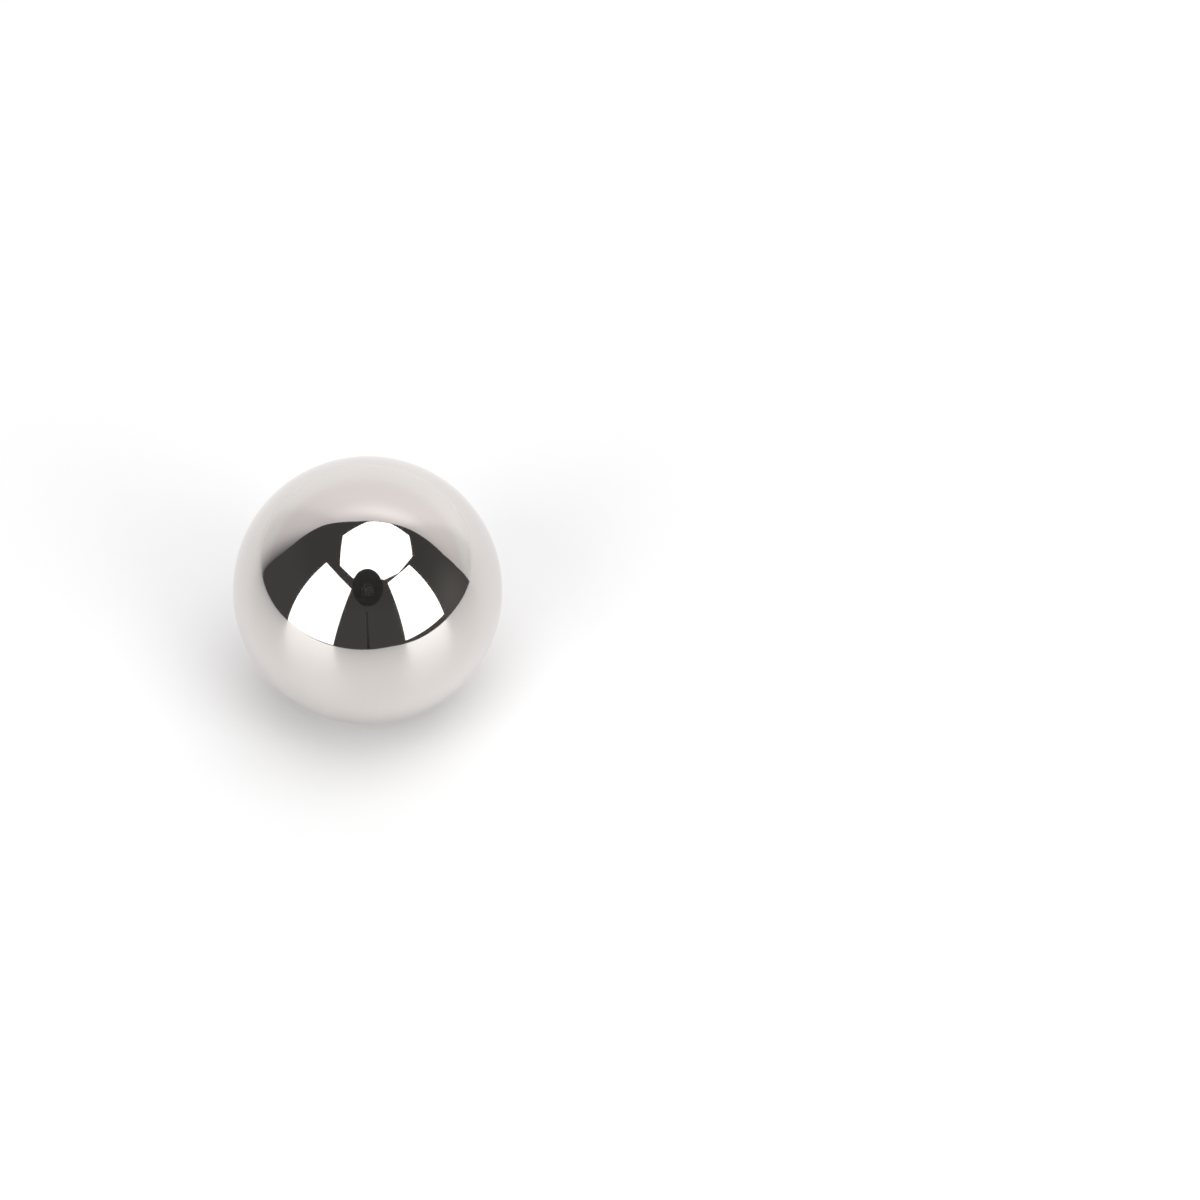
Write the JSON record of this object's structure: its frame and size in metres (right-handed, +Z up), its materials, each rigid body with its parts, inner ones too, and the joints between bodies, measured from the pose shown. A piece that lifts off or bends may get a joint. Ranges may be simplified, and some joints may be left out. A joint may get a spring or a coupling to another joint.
{
  "type": "steel ball",
  "caption": "Solid steel ball, one true sphere lapped to a mirror finish, for rolling, spacing, weighting or sealing.",
  "frame": {"origin": "centre of the ball", "axes": "+Z up, away from the seat under the ball; the ball is the same about every axis through its centre"},
  "size_m": [0.03, 0.03, 0.03],
  "materials": {
    "polished_steel": "polished"
  },
  "bodies": {
    "root": {"ball": "polished_steel"}
  },
  "joints": []
}
